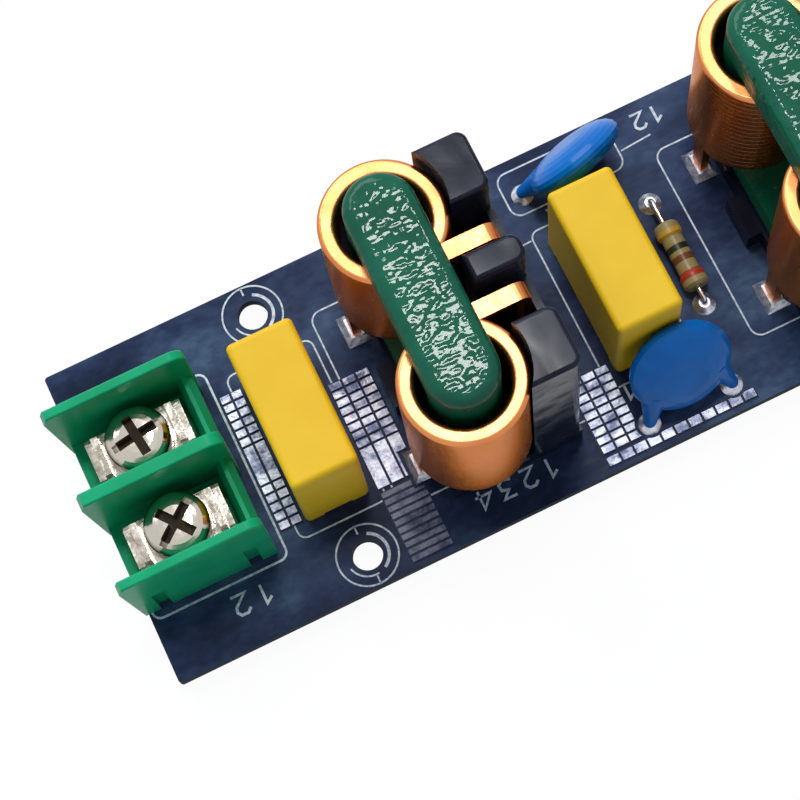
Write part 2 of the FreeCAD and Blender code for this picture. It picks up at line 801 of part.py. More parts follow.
film_low = film_y - film_length / 2
film_high = film_y + film_length / 2
film_side = film_offset_x + film_width / 2
strip_left = -(film_offset_x - film_width / 2) + strip_gap
disc_area_low = -board_width / 2 + board_edge_gap
disc_area_split = disc_area_low + disc_area_bar
disc_column_left = wall_outer - choke_offset_x + choke_area_gap
areas = [make_area(-block_inner + block_area_gap, -film_side - area_gap, film_low + side_area_inset,
                   film_high - side_area_inset, film_y - side_bar_bottom, film_y + side_bar_top),
         make_area(film_side + area_gap, block_inner - block_area_gap, film_low + side_area_inset,
                   film_high - side_area_inset, film_y - side_bar_bottom, film_y + side_bar_top),
         make_area(strip_left, strip_left + strip_width, film_y - strip_bottom,
                   film_y + strip_top, film_y - strip_bottom, film_y - strip_bar_top),
         make_ribs(strip_left, strip_left + strip_width, disc_area_low,
                   film_y - strip_bottom - area_gap),
         make_area(disc_column_left, disc_column_left + disc_area_column,
                   disc_area_split + area_gap, film_y - disc_area_top,
                   disc_area_split + area_gap, disc_area_split + area_gap + land_pitch_y),
         make_area(disc_column_left, lower_disc_x + disc_area_right, disc_area_low,
                   disc_area_split, disc_area_low, disc_area_split)]
save("tinned_patches", Part.makeCompound(areas))
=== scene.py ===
# %% [markdown]
# # A mains line filter on its circuit board
# The filter's solids come packed as a fixed frame. This lesson dresses them: each
# solid gets the material that the real piece is made of, the board gets its printed
# outlines, and at the end come the floor, the light and the camera. The shapes are
# right already, so nothing here moves or changes them.
# Lengths in the scene are metres. Sizes of patterns are written in millimetres,
# because that is how one would measure them on the real parts.

import math

import bpy
import numpy as np
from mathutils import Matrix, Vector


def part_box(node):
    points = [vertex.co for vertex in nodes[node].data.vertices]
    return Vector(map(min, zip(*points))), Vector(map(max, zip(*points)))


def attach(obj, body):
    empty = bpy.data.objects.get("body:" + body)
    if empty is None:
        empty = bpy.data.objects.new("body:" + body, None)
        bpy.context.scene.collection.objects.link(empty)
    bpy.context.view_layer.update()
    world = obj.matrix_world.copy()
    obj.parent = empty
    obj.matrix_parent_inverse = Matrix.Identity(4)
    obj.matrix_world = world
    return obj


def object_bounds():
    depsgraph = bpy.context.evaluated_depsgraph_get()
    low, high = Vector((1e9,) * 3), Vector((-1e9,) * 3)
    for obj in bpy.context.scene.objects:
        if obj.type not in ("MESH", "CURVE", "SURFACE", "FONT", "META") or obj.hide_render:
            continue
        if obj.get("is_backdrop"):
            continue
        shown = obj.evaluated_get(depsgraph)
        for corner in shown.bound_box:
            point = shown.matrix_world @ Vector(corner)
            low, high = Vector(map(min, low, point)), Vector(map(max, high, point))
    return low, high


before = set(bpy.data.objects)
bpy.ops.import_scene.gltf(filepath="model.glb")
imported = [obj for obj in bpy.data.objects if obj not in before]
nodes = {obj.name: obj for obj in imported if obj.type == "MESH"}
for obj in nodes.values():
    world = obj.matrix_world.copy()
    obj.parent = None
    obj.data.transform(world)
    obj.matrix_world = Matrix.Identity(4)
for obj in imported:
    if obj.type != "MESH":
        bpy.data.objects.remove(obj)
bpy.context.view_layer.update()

MM = 0.001
BOARD_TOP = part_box("board")[1][2]
print(len(nodes), "solids; the board's top lies at", round(BOARD_TOP / MM, 2), "mm")

# %% [markdown]
# ## Colours
# A colour is written as the hex value that one sees on a screen, but a shader works
# in linear light. One could write linear values, but nobody can picture those, so one
# function turns the hex value round.

# %% From screen hex to linear light


def linear(code):
    """Screen hex to linear light: each channel goes back through the sRGB curve."""
    parts = [int(code[i:i + 2], 16) / 255 for i in (1, 3, 5)]
    curve = [c / 12.92 if c <= 0.04045 else ((c + 0.055) / 1.055) ** 2.4 for c in parts]
    return (*curve, 1.0)


print("pure white is", linear("#FFFFFF")[:3], "and mid grey is", round(linear("#808080")[0], 3))

# %% [markdown]
# ## Nodes
# A material is a set of nodes and the links between them. Written out, each node takes
# four or five lines. One function makes a node, sets it and links it at once, so that
# a material reads from top to bottom like a recipe. Sockets that share a name, as
# those of a Math or a Mix node do, are called by their number instead.

# %% One function for every node


def add(tree, kind, settings=None, links=None, stops=()):
    """Adds a node, sets its inputs or properties, links it and fills a ramp's stops."""
    node = tree.nodes.new(kind)
    for key, value in (settings or {}).items():
        if isinstance(key, int) or key in node.inputs:
            node.inputs[key].default_value = value
        else:
            setattr(node, key, value)
    for key, source in (links or {}).items():
        socket = source.outputs[0] if isinstance(source, bpy.types.Node) else source
        tree.links.new(socket, node.inputs[key])
    for number, (position, code) in enumerate(stops):
        elements = node.color_ramp.elements
        element = elements[number] if number < 2 else elements.new(position)
        element.position = position
        element.color = linear(code)
    return node


print("a ramp starts with two stops, and add() makes the others")

# %% [markdown]
# ## Patterns
# Every pattern is laid out in the object's own coordinates, so it stays on its piece
# from all sides. A noise node counts its features per metre, and one function works
# that out from their real size. The values of a noise lie mostly between 0.3 and 0.7,
# so most ramps and all gloss ranges are spread over that span.
# A pixel of the picture covers a good tenth of a millimetre of the board. Grain finer
# than two pixels can't show, so it is drawn coarser than it really is.

# %% Scale of a pattern, span of a noise, and a fresh material
NOISE_LOW, NOISE_HIGH = 0.3, 0.7
NOISE_SPAN = {"From Min": NOISE_LOW, "From Max": NOISE_HIGH}


def per_mm(size):
    """Scale of a noise whose features are about the given number of millimetres."""
    return 1.0 / (size * MM)


def start(name):
    """An empty node material, its tree, and the object's own coordinates."""
    material = bpy.data.materials.new(name)
    material.use_nodes = True
    tree = material.node_tree
    tree.nodes.clear()
    return material, tree, add(tree, "ShaderNodeTexCoord").outputs["Object"]


print("features of 1 mm need a noise scale of", round(per_mm(1.0)))

# %% [markdown]
# ## Solder mask
# The board is glass laminate with a blue epoxy ink, screen printed and cured on it.
# The ink is thin and glossy, and it looks lighter where copper lies under it. One
# could model the copper tracks, but they are only a few hundredths of a millimetre
# high. A broad soft noise for the colour stands for them, and its wide span of light
# and dark also paints in patches of sheen; a fine noise varies the gloss.
# Both are drawn out along the board, as the tracks run.
# Epoxy, plastic and lacquer bend light by about 1.5, which is the shader's own value.
# Its specular level is set below the usual 0.5, here and in most finishes that follow:
# the room is plain white, and at 0.5 its mirror image would lie over each dark colour
# like fog.

# %% Solder mask: deep blue, cloudy over the copper, with painted sheen
SKIN_SHARE = 0.3
mask, tree, place = start("epoxy_solder_mask_blue")
drawn = add(tree, "ShaderNodeMapping", {"Scale": (0.6, 1.0, 1.0)}, {"Vector": place})
# The broad noise is partly the copper below and partly painted sheen.
copper_and_sheen = add(tree, "ShaderNodeTexNoise", {"Scale": per_mm(7.0), "Detail": 2.0},
                   {"Vector": drawn})
skin = add(tree, "ShaderNodeTexNoise", {"Scale": per_mm(0.8), "Detail": 4.0}, {"Vector": drawn})
mixed = add(tree, "ShaderNodeMath", {"operation": "MULTIPLY_ADD", 1: SKIN_SHARE},
            {0: skin, 2: copper_and_sheen})
colour = add(tree, "ShaderNodeValToRGB", None, {"Fac": mixed},
             stops=[(0.42, "#20283F"), (0.90, "#4C6480"), (0.60, "#2B3654"), (0.76, "#3A4B6B")])
gloss = add(tree, "ShaderNodeMapRange", {**NOISE_SPAN, "To Min": 0.2, "To Max": 0.34},
            {"Value": skin})
relief = add(tree, "ShaderNodeBump", {"Distance": 0.02 * MM}, {"Height": skin})
ink = add(tree, "ShaderNodeBsdfPrincipled", {"Specular IOR Level": 0.03},
          {"Base Color": colour, "Roughness": gloss, "Normal": relief})
print("mixed the ink of", mask.name)

# %% [markdown]
# The board is sawn out of a larger sheet, so its edges show bare laminate, bundles of
# glass fibre in resin: dull and dark grey. The edge faces could have a material of
# their own, but the solid is one piece with one slot. The normal tells them apart
# instead. It points up or down on the two inked faces and lies level at the edges.

# %% Sawn edge: dull, dark grey, fibrous
fibre = add(tree, "ShaderNodeTexNoise", {"Scale": per_mm(0.4), "Detail": 3.0},
            {"Vector": place})
laminate = add(tree, "ShaderNodeValToRGB", None, {"Fac": fibre},
               stops=[(NOISE_LOW, "#1A2028"), (NOISE_HIGH, "#323A3C")])
sawn = add(tree, "ShaderNodeBsdfPrincipled", {"Specular IOR Level": 0.1, "Roughness": 0.8},
           {"Base Color": laminate})
upright = add(tree, "ShaderNodeSeparateXYZ", None,
              {"Vector": place.node.outputs["Normal"]}).outputs["Z"]
inked = add(tree, "ShaderNodeMath", {"operation": "ABSOLUTE"}, {0: upright})
mix = add(tree, "ShaderNodeMixShader", None, {0: inked, 1: sawn, 2: ink})
add(tree, "ShaderNodeOutputMaterial", None, {"Surface": mix})
print("made", mask.name)

# %% [markdown]
# ## Nylon of the terminal blocks
# The housings are injection moulded in green nylon. Moulded plastic takes the polish
# of its mould, so its colour is even and its gloss is soft. A single flat colour would
# do, but it looks like paint on a screen. So a cloudiness of 5 mm shifts the green by
# a hair, and a grain breaks up the gloss. The real grain is about 0.05 mm; it is drawn
# at 0.35 mm so that it shows.

# %% Nylon, injection moulded: even green, half gloss
nylon, tree, place = start("nylon_green")
cloud = add(tree, "ShaderNodeTexNoise", {"Scale": per_mm(5.0)}, {"Vector": place})
grain = add(tree, "ShaderNodeTexNoise", {"Scale": per_mm(0.35), "Detail": 3.0},
            {"Vector": place})
colour = add(tree, "ShaderNodeValToRGB", None, {"Fac": cloud},
             stops=[(NOISE_LOW, "#109F6C"), (NOISE_HIGH, "#15AD78")])
gloss = add(tree, "ShaderNodeMapRange", {**NOISE_SPAN, "To Min": 0.28, "To Max": 0.4},
            {"Value": grain})
relief = add(tree, "ShaderNodeBump", {"Distance": 0.008 * MM}, {"Height": grain})
shader = add(tree, "ShaderNodeBsdfPrincipled", {"Specular IOR Level": 0.1},
             {"Base Color": colour, "Roughness": gloss, "Normal": relief})
add(tree, "ShaderNodeOutputMaterial", None, {"Surface": shader})
print("made", nylon.name)

# %% [markdown]
# ## Polyester of the film capacitors
# The capacitors sit in moulded boxes of filled polyester. The filler makes the skin
# duller than nylon: a warm yellow with a satin gloss. It is made as the nylon is, with
# other colours and a rougher skin, because the two differ in nothing else. The real
# grain is again finer than a pixel and is drawn at 0.25 mm.

# %% Polyester, moulded box: warm yellow, satin
polyester, tree, place = start("polyester_yellow")
cloud = add(tree, "ShaderNodeTexNoise", {"Scale": per_mm(6.0)}, {"Vector": place})
grain = add(tree, "ShaderNodeTexNoise", {"Scale": per_mm(0.25), "Detail": 3.0},
            {"Vector": place})
colour = add(tree, "ShaderNodeValToRGB", None, {"Fac": cloud},
             stops=[(NOISE_LOW, "#EDBF1B"), (NOISE_HIGH, "#F3C722")])
gloss = add(tree, "ShaderNodeMapRange", {**NOISE_SPAN, "To Min": 0.42, "To Max": 0.55},
            {"Value": grain})
relief = add(tree, "ShaderNodeBump", {"Distance": 0.006 * MM}, {"Height": grain})
shader = add(tree, "ShaderNodeBsdfPrincipled", {"Specular IOR Level": 0.25},
             {"Base Color": colour, "Roughness": gloss, "Normal": relief})
add(tree, "ShaderNodeOutputMaterial", None, {"Surface": shader})
print("made", polyester.name)

# %% [markdown]
# ## Phenolic of the choke bases
# The base and its comb wall are pressed from black phenolic resin. It shrinks unevenly
# as it cures, so its glossy faces carry slow waves, which bend the mirror image of the
# room. The waves could be modelled, but they are only a few hundredths of a millimetre
# high, which is work for a bump node. A second bump sits on top of the first: the
# mould's grain, drawn at 0.5 mm.

# %% Phenolic, pressed: black, glossy, slow waves in the surface
phenolic, tree, place = start("phenolic_black")
drawn = add(tree, "ShaderNodeMapping", {"Scale": (1.0, 0.5, 1.0)}, {"Vector": place})
wave = add(tree, "ShaderNodeTexNoise", {"Scale": per_mm(3.2), "Detail": 1.0}, {"Vector": drawn})
grain = add(tree, "ShaderNodeTexNoise", {"Scale": per_mm(0.5)}, {"Vector": place})
colour = add(tree, "ShaderNodeValToRGB", None, {"Fac": wave},
             stops=[(NOISE_LOW, "#171B28"), (NOISE_HIGH, "#232838")])
gloss = add(tree, "ShaderNodeMapRange", {**NOISE_SPAN, "To Min": 0.16, "To Max": 0.28},
            {"Value": wave})
waves = add(tree, "ShaderNodeBump", {"Distance": 0.15 * MM}, {"Height": wave})
relief = add(tree, "ShaderNodeBump", {"Distance": 0.004 * MM},
             {"Height": grain, "Normal": waves})
shader = add(tree, "ShaderNodeBsdfPrincipled", {"Specular IOR Level": 0.1},
             {"Base Color": colour, "Roughness": gloss, "Normal": relief})
add(tree, "ShaderNodeOutputMaterial", None, {"Surface": shader})
print("made", phenolic.name)

# %% [markdown]
# ## Powder coat of the ferrite cores
# Ferrite is brittle and conducts a little, so the cores wear a coat of green epoxy
# powder. It melts into a skin like orange peel with blobs about 1 mm wide, and under a
# small lamp that skin breaks the highlight into white flecks. The flecks could be
# painted, but then they would stay put when the part turns. Here they come from bump:
# the noise tilts the clear coat, and only the spots that tilt towards the lamp light
# up. The coat has a normal of its own, so the bump goes there as well. The blobs are a
# little wider across the bar than along it, and so is the noise.

# %% Epoxy powder coat: dark green, glossy, orange peel
powder, tree, place = start("epoxy_powder_coat_green")
drawn = add(tree, "ShaderNodeMapping", {"Scale": (0.75, 1.1, 1.0)}, {"Vector": place})
peel = add(tree, "ShaderNodeTexNoise", {"Scale": per_mm(1.15), "Detail": 1.0}, {"Vector": drawn})
cloud = add(tree, "ShaderNodeTexNoise", {"Scale": per_mm(5.0)}, {"Vector": place})
colour = add(tree, "ShaderNodeValToRGB", None, {"Fac": cloud},
             stops=[(NOISE_LOW, "#06523E"), (NOISE_HIGH, "#08624A")])
relief = add(tree, "ShaderNodeBump", {"Distance": 0.13 * MM}, {"Height": peel})
shader = add(tree, "ShaderNodeBsdfPrincipled",
             {"Roughness": 0.5, "Specular IOR Level": 0.05, "Coat Weight": 0.3,
              "Coat Roughness": 0.04},
             {"Base Color": colour, "Normal": relief, "Coat Normal": relief})
add(tree, "ShaderNodeOutputMaterial", None, {"Surface": shader})
print("made", powder.name)

# %% [markdown]
# ## Dip on the disc capacitors
# The discs are dipped in blue epoxy together with the start of their leads. The resin
# runs smooth before it sets, so it is glossy and only a little wavy. One sharp gloss
# over the colour would look like glass. A duller base under a thin clear coat, which
# the shader has built in, looks as deep as the real dip does.

# %% Epoxy dip: deep blue, glossy, a little wavy
dip, tree, place = start("epoxy_dip_blue")
cloud = add(tree, "ShaderNodeTexNoise", {"Scale": per_mm(3.0), "Detail": 2.0},
            {"Vector": place})
colour = add(tree, "ShaderNodeValToRGB", None, {"Fac": cloud},
             stops=[(NOISE_LOW, "#0066BE"), (NOISE_HIGH, "#0272CC")])
relief = add(tree, "ShaderNodeBump", {"Distance": 0.15 * MM}, {"Height": cloud})
shader = add(tree, "ShaderNodeBsdfPrincipled",
             {"Roughness": 0.35, "Specular IOR Level": 0.08, "Coat Weight": 0.2,
              "Coat Roughness": 0.06},
             {"Base Color": colour, "Normal": relief, "Coat Normal": relief})
add(tree, "ShaderNodeOutputMaterial", None, {"Surface": shader})
print("made", dip.name)

# %% [markdown]
# ## Fill of the film capacitors
# Each box is closed from below with amber epoxy, poured in round the winding. It sets
# with a slightly uneven level. Little of it shows, between the box and the board, so
# one noise serves its colour, its gloss and its bump.

# %% Epoxy fill, poured: amber, uneven gloss
fill, tree, place = start("epoxy_fill_amber")
cloud = add(tree, "ShaderNodeTexNoise", {"Scale": per_mm(2.0)}, {"Vector": place})
colour = add(tree, "ShaderNodeValToRGB", None, {"Fac": cloud},
             stops=[(NOISE_LOW, "#B88F2C"), (NOISE_HIGH, "#CFA73A")])
gloss = add(tree, "ShaderNodeMapRange", {**NOISE_SPAN, "To Min": 0.3, "To Max": 0.5},
            {"Value": cloud})
relief = add(tree, "ShaderNodeBump", {"Distance": 0.1 * MM}, {"Height": cloud})
shader = add(tree, "ShaderNodeBsdfPrincipled", None,
             {"Base Color": colour, "Roughness": gloss, "Normal": relief})
add(tree, "ShaderNodeOutputMaterial", None, {"Surface": shader})
print("made", fill.name)

# %% [markdown]
# ## Resistor lacquer
# The resistor is a ceramic rod under tan lacquer, with coloured rings painted round
# it. A picture wrapped round the rod would need unwrapping. But the rod lies along Y,
# so its own Y coordinate says how far along a point is, and a ramp without blending
# turns that into sharp rings. Each stop gives the colour from there to the next one.

# %% Lacquer with painted rings: tan, soft gloss
lacquer, tree, place = start("lacquer_resistor")
low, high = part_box("discharge_resistor")
along = add(tree, "ShaderNodeSeparateXYZ", None, {"Vector": place}).outputs["Y"]
share = add(tree, "ShaderNodeMapRange", {"From Min": low[1], "From Max": high[1]},
            {"Value": along})
TAN = "#9A8D5E"
colour = add(tree, "ShaderNodeValToRGB", None, {"Fac": share},
             stops=[(0.0, TAN), (0.88, TAN), (0.12, "#A83A24"), (0.24, TAN), (0.38, "#6E4426"),
                    (0.48, TAN), (0.55, "#23301C"), (0.64, TAN), (0.78, "#C09A38")])
colour.color_ramp.interpolation = "CONSTANT"
grain = add(tree, "ShaderNodeTexNoise", {"Scale": per_mm(0.6)}, {"Vector": place})
gloss = add(tree, "ShaderNodeMapRange", {**NOISE_SPAN, "To Min": 0.28, "To Max": 0.42},
            {"Value": grain})
relief = add(tree, "ShaderNodeBump", {"Distance": 0.02 * MM}, {"Height": grain})
shader = add(tree, "ShaderNodeBsdfPrincipled", {"Specular IOR Level": 0.35},
             {"Base Color": colour, "Roughness": gloss, "Normal": relief})
add(tree, "ShaderNodeOutputMaterial", None, {"Surface": shader})
print("made", lacquer.name, "for a rod", round((high[1] - low[1]) / MM, 1), "mm long")

# %% [markdown]
# ## Copper of the coils
# A metal has no colour of its own beneath the shine: what one sees is the room,
# tinted. So each metal is a bright tint with Metallic at 1, and its character lies in
# the roughness and in a slight unevenness.
# The coils are flat copper wire, rolled, enamelled and wound on edge. Rolling leaves
# the copper soft and even, and the clear enamel adds a faint shine. The enamel would
# pale the copper at the rims, so the tint at grazing angles is held warm. The pattern
# is stretched upright, and the rolling marks, really a few hundredths of a millimetre
# apart, are drawn at 0.4 mm.

# %% Copper, rolled and enamelled: warm, smooth, soft gloss
copper, tree, place = start("copper_enamelled")
drawn = add(tree, "ShaderNodeMapping", {"Scale": (1.0, 1.0, 0.4)}, {"Vector": place})
cloud = add(tree, "ShaderNodeTexNoise", {"Scale": per_mm(6.0), "Detail": 1.0},
            {"Vector": drawn})
grain = add(tree, "ShaderNodeTexNoise", {"Scale": per_mm(0.4), "Detail": 3.0},
            {"Vector": drawn})
colour = add(tree, "ShaderNodeValToRGB", None, {"Fac": cloud},
             stops=[(NOISE_LOW, "#C97A46"), (NOISE_HIGH, "#DA8C56")])
gloss = add(tree, "ShaderNodeMapRange", {**NOISE_SPAN, "To Min": 0.27, "To Max": 0.36},
            {"Value": grain})
relief = add(tree, "ShaderNodeBump", {"Distance": 0.3 * MM}, {"Height": cloud})
shader = add(tree, "ShaderNodeBsdfPrincipled",
             {"Metallic": 1.0, "Specular Tint": linear("#E6B48C"), "Coat Weight": 0.25,
              "Coat Roughness": 0.2},
             {"Base Color": colour, "Roughness": gloss, "Normal": relief})
add(tree, "ShaderNodeOutputMaterial", None, {"Surface": shader})
print("made", copper.name)

# %% [markdown]
# ## Nickel plate of the terminals
# The clamps, washers and contact strips are stamped steel, nickel plated in a barrel.
# Nickel is a warm white metal, and the tumbling in the barrel leaves shallow dents 1
# to 2 mm wide. They are far too many to model one by one. Noise gives them as bump,
# and the same noise darkens the tint in the dents, as painted shade in the hollows. A
# finer noise varies the gloss; it stands for scratches that no pixel can hold and is
# drawn at 0.25 mm.

# %% Nickel plate, barrel tumbled: bright, warm white
nickel, tree, place = start("steel_nickel_plated")
dents = add(tree, "ShaderNodeTexNoise", {"Scale": per_mm(1.6), "Detail": 3.0},
            {"Vector": place})
grain = add(tree, "ShaderNodeTexNoise", {"Scale": per_mm(0.25), "Detail": 3.0},
            {"Vector": place})
# Darker where the dents lie: painted shade in the hollows.
colour = add(tree, "ShaderNodeValToRGB", None, {"Fac": dents},
             stops=[(0.36, "#8E877B"), (0.64, "#CFC9BD")])
gloss = add(tree, "ShaderNodeMapRange", {**NOISE_SPAN, "To Min": 0.1, "To Max": 0.22},
            {"Value": grain})
relief = add(tree, "ShaderNodeBump", {"Distance": 0.06 * MM}, {"Height": dents})
shader = add(tree, "ShaderNodeBsdfPrincipled", {"Metallic": 1.0},
             {"Base Color": colour, "Roughness": gloss, "Normal": relief})
add(tree, "ShaderNodeOutputMaterial", None, {"Surface": shader})
print("made", nickel.name)

# %% [markdown]
# ## Painted shade in the screws
# The screws have the same plate, and their slots and rims lie in shade, which is
# painted into the tint. It could be painted by hand on each head. Here the height does
# it, because all heads are equally high: the tint is bright at the crown and turns dark
# brown with the depth below it, and the dents make the border ragged.

# %% Nickel plate with painted shade: bright crown, dark slots and rims
SHADE_START, SHADE_DEEP = 0.2 * MM, 1.3 * MM
DENT_SHARE = 0.5
screw_steel_painted_shade, tree, place = start("steel_nickel_plated_painted_shade")
screw_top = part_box("output_terminal_screws")[1][2]
height = add(tree, "ShaderNodeSeparateXYZ", None, {"Vector": place}).outputs["Z"]
dents = add(tree, "ShaderNodeTexNoise", {"Scale": per_mm(1.8), "Detail": 2.0},
            {"Vector": place})
rise = add(tree, "ShaderNodeMapRange",
           {"From Min": screw_top - SHADE_DEEP, "From Max": screw_top - SHADE_START},
           {"Value": height})
painted_light_share = add(tree, "ShaderNodeMath", {"operation": "MULTIPLY_ADD", 1: DENT_SHARE},
            {0: dents, 2: rise})
# Painted shade: dark brown deep in the slots and round the rims, bright at the crown.
colour = add(tree, "ShaderNodeValToRGB", None, {"Fac": painted_light_share},
             stops=[(0.4, "#2E2822"), (0.95, "#C4BEB2"), (0.62, "#625B50")])
gloss = add(tree, "ShaderNodeMapRange", {**NOISE_SPAN, "To Min": 0.08, "To Max": 0.2},
            {"Value": dents})
relief = add(tree, "ShaderNodeBump", {"Distance": 0.05 * MM}, {"Height": dents})
shader = add(tree, "ShaderNodeBsdfPrincipled", {"Metallic": 1.0},
             {"Base Color": colour, "Roughness": gloss, "Normal": relief})
add(tree, "ShaderNodeOutputMaterial", None, {"Surface": shader})
print("made", screw_steel_painted_shade.name, "for heads that end at", round(screw_top / MM, 2), "mm")

# %% [markdown]
# ## Solder
# Solder freezes from the melt into silver grey beads with ripples and dull spots. The
# beads are solids already, so only the skin is left to do. Real ripples are a few
# tenths of a millimetre wide. They are drawn at 0.7 mm, so that each small bead
# catches the light in two or three places.

# %% Solder, frozen from the melt: silver grey, rippled
solder, tree, place = start("solder_tin")
ripple = add(tree, "ShaderNodeTexNoise", {"Scale": per_mm(0.7), "Detail": 3.0},
             {"Vector": place})
colour = add(tree, "ShaderNodeValToRGB", None, {"Fac": ripple},
             stops=[(NOISE_LOW, "#AEB2C4"), (NOISE_HIGH, "#F0F1F8")])
gloss = add(tree, "ShaderNodeMapRange", {**NOISE_SPAN, "To Min": 0.35, "To Max": 0.55},
            {"Value": ripple})
relief = add(tree, "ShaderNodeBump", {"Distance": 0.1 * MM}, {"Height": ripple})
shader = add(tree, "ShaderNodeBsdfPrincipled", {"Metallic": 1.0},
             {"Base Color": colour, "Roughness": gloss, "Normal": relief})
add(tree, "ShaderNodeOutputMaterial", None, {"Surface": shader})
print("made", solder.name)

# %% [markdown]
# ## Wire of the leads
# The leads are copper wire, tinned and drawn through a die: smooth and silver. A plain
# metal would nearly do. A faint noise keeps the long highlight from looking ruled. It
# is 0.5 mm wide, far coarser than real drawing marks, which would not show.

# %% Tinned copper wire, drawn: smooth, silver
wire, tree, place = start("copper_wire_tinned")
grain = add(tree, "ShaderNodeTexNoise", {"Scale": per_mm(0.5)}, {"Vector": place})
colour = add(tree, "ShaderNodeValToRGB", None, {"Fac": grain},
             stops=[(NOISE_LOW, "#BDBDC2"), (NOISE_HIGH, "#E0E0E6")])
gloss = add(tree, "ShaderNodeMapRange", {**NOISE_SPAN, "To Min": 0.18, "To Max": 0.3},
            {"Value": grain})
relief = add(tree, "ShaderNodeBump", {"Distance": 0.02 * MM}, {"Height": grain})
shader = add(tree, "ShaderNodeBsdfPrincipled", {"Metallic": 1.0},
             {"Base Color": colour, "Roughness": gloss, "Normal": relief})
add(tree, "ShaderNodeOutputMaterial", None, {"Surface": shader})
print("made", wire.name)

# %% [markdown]
# ## Tinned lands
# Beside the big parts the mask is left open in rows of small windows, and the copper
# there is tinned, so that it carries more current. The solid has the lands as raised
# tiles. The mask between them and the tin on them are one piece, so the material tells
# them apart by height: above a set level it is tin. A broad noise makes some lands
# full and bright and leaves others thin and dark, as uneven hot tinning does, and a
# fine one gives the ripples.

# %% Height and thickness of the tin
MASK_LEVEL = BOARD_TOP + 0.18 * MM
TIN_LEVEL = BOARD_TOP + 0.26 * MM
RIPPLE_SHARE = 0.5
lands, tree, place = start("tin_on_copper_lands")
height = add(tree, "ShaderNodeSeparateXYZ", None, {"Vector": place}).outputs["Z"]
bare = add(tree, "ShaderNodeMapRange", {"From Min": MASK_LEVEL, "From Max": TIN_LEVEL},
           {"Value": height})
ripple = add(tree, "ShaderNodeTexNoise", {"Scale": per_mm(0.45), "Detail": 3.0},
             {"Vector": place})
patch = add(tree, "ShaderNodeTexNoise", {"Scale": per_mm(2.2), "Detail": 1.0},
            {"Vector": place})
uneven = add(tree, "ShaderNodeMath", {"operation": "MULTIPLY_ADD", 1: RIPPLE_SHARE},
             {0: ripple, 2: patch})
print("tin starts", round((TIN_LEVEL - BOARD_TOP) / MM, 2), "mm above the board")

# %% [markdown]
# The Mix node keeps its colours at sockets 6 and 7 and gives the result at output 2.
# Hot tin left to cool has a thin grey skin that scatters light. So it counts as metal
# by little more than a half, which also keeps it pale where the room is dark.

# %% Hot tinning over copper lands: patchy, lilac grey
TIN_METALLIC = 0.55
tin = add(tree, "ShaderNodeValToRGB", None, {"Fac": uneven},
          stops=[(0.56, "#5C6684"), (0.86, "#DADEEC"), (0.67, "#969CB6"), (0.76, "#BEC3D6")])
ink = add(tree, "ShaderNodeValToRGB", None, {"Fac": patch},
          stops=[(NOISE_LOW, "#0F1A38"), (NOISE_HIGH, "#1E2C52")])
colour = add(tree, "ShaderNodeMix", {"data_type": "RGBA"}, {0: bare, 6: ink, 7: tin})
metal = add(tree, "ShaderNodeMath", {"operation": "MULTIPLY", 1: TIN_METALLIC}, {0: bare})
gloss = add(tree, "ShaderNodeMapRange", {**NOISE_SPAN, "To Min": 0.3, "To Max": 0.5},
            {"Value": ripple})
relief = add(tree, "ShaderNodeBump", {"Distance": 0.12 * MM}, {"Height": ripple})
shader = add(tree, "ShaderNodeBsdfPrincipled", {"Specular IOR Level": 0.2},
             {"Base Color": colour.outputs[2], "Metallic": metal, "Roughness": gloss,
              "Normal": relief})
add(tree, "ShaderNodeOutputMaterial", None, {"Surface": shader})
print("made", lands.name)

# %% [markdown]
# ## Marking ink
# The outlines and numbers are screen printed over the mask in a pale ink, which lies
# matt and covers unevenly. A fine noise lets it fade here and there to blue grey. The
# screen's own mesh is about 0.1 mm and would not show, so the fading is 0.5 mm wide.

# %% Marking ink, screen printed: pale blue grey, matt, slightly worn
ink_print, tree, place = start("marking_ink_pale")
wear = add(tree, "ShaderNodeTexNoise", {"Scale": per_mm(0.5), "Detail": 4.0},
           {"Vector": place})
colour = add(tree, "ShaderNodeValToRGB", None, {"Fac": wear},
             stops=[(0.35, "#A6B6C6"), (0.6, "#DCE6F0")])
gloss = add(tree, "ShaderNodeMapRange", {**NOISE_SPAN, "To Min": 0.5, "To Max": 0.7},
            {"Value": wear})
relief = add(tree, "ShaderNodeBump", {"Distance": 0.01 * MM}, {"Height": wear})
shader = add(tree, "ShaderNodeBsdfPrincipled", {"Specular IOR Level": 0.3},
             {"Base Color": colour, "Roughness": gloss, "Normal": relief})
add(tree, "ShaderNodeOutputMaterial", None, {"Surface": shader})
print("made", ink_print.name)

# %% [markdown]
# ## Dress the solids
# Every solid has a plain name, and a word in it says what it is made of. So nobody has
# to list all of them: a short list of words will do. It is read in order, and the more
# telling words come first, such as the terminal screws before the rest of a terminal.

# %% Give each solid its material
palette = (
    ("board", mask), ("housing", nylon), ("terminal_screws", screw_steel_painted_shade),
    ("terminal", nickel), ("wire_clamps", nickel),
    ("capacitor_case", polyester), ("capacitor_core", fill), ("leads", wire),
    ("coil", copper), ("choke_core", powder), ("choke_base", phenolic),
    ("disc_capacitor", dip), ("resistor", lacquer), ("solder", solder),
    ("tinned_patches", lands),
)

for name, piece in nodes.items():
    material = next(material for word, material in palette if word in name)
    if not piece.material_slots:
        piece.data.materials.append(material)
    for slot in piece.material_slots:
        slot.material = material
print("dressed", len(nodes), "solids by", len(palette), "words")

# %% [markdown]
# ## Print on the board
# A real board shows pale outlines where the parts belong. They could be painted with a
# picture, but a picture is not part of the shape. Here each line is a thin strip of
# ink, carried along a row of points, so first come the points. All lengths in this
# part are millimetres, and they become metres when the mesh is made.

# %% Points of boxes and circles


